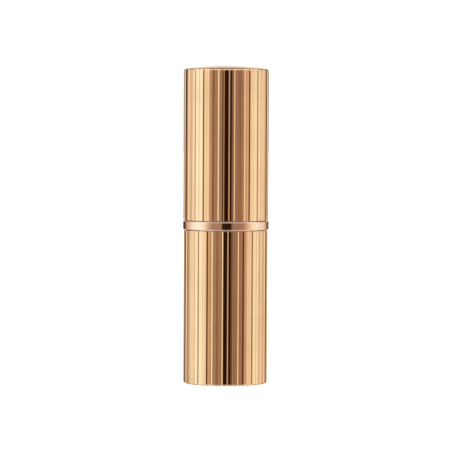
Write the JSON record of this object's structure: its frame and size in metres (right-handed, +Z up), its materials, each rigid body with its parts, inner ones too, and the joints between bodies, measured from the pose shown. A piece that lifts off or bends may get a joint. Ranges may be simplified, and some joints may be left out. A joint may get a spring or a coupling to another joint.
{
  "type": "lipstick case",
  "caption": "Slim round swivel lipstick case with a reeded metal cap and base, a plain ring between them and a domed top.",
  "frame": {"origin": "centre of the foot, on the surface that the case stands on", "axes": "+Z up along the case's axis from the foot to the domed top; -Y is the side that the lipstick's cut face slopes down to"},
  "size_m": [0.0208, 0.0208, 0.0764],
  "materials": {
    "rose_metal": "polished, anodised rose gold",
    "ring_metal": "mirror polished, anodised rose gold",
    "ferrule_metal": "polished, anodised rose gold",
    "weight_steel": "plated",
    "liner_plastic": "satin moulded",
    "mechanism_plastic": "moulded",
    "silicone": "matt",
    "lipstick_wax": "waxy satin",
    "label_film": "blank, satin"
  },
  "bodies": {
    "base": {"base_shell": "rose_metal", "base_weight": "weight_steel", "shade_label": "label_film", "base_liner": "liner_plastic", "inner_tube": "mechanism_plastic"},
    "collar": {"collar_ring": "ring_metal", "collar_bushing": "liner_plastic", "lower_brake_ring": "silicone", "upper_brake_ring": "silicone", "ferrule": "ferrule_metal", "spiral_sleeve": "mechanism_plastic"},
    "carrier": {"carrier_cup": "mechanism_plastic", "lipstick_bullet": "lipstick_wax"},
    "cap": {"cap_shell": "rose_metal", "cap_top_disc": "ring_metal", "cap_weight": "weight_steel", "cap_liner": "liner_plastic", "cap_click_ring": "mechanism_plastic"}
  },
  "joints": [
    {"name": "collar_twist", "type": "hinge", "parent": "base", "child": "collar", "pos_m": [0, 0, 0.03695], "axis": [0, 0, 1], "range_deg": [0, 450]},
    {"name": "carrier_rise", "type": "slide", "parent": "base", "child": "carrier", "axis": [0, 0, 1], "range_m": [0, 0.0192]},
    {"name": "cap_pull", "type": "slide", "parent": "collar", "child": "cap", "axis": [0, 0, 1], "range_m": [0, 0.045]}
  ],
  "couplings": [
    {"joint": "carrier_rise", "follows": "collar_twist", "m_per_rad": 0.0024446}
  ]
}
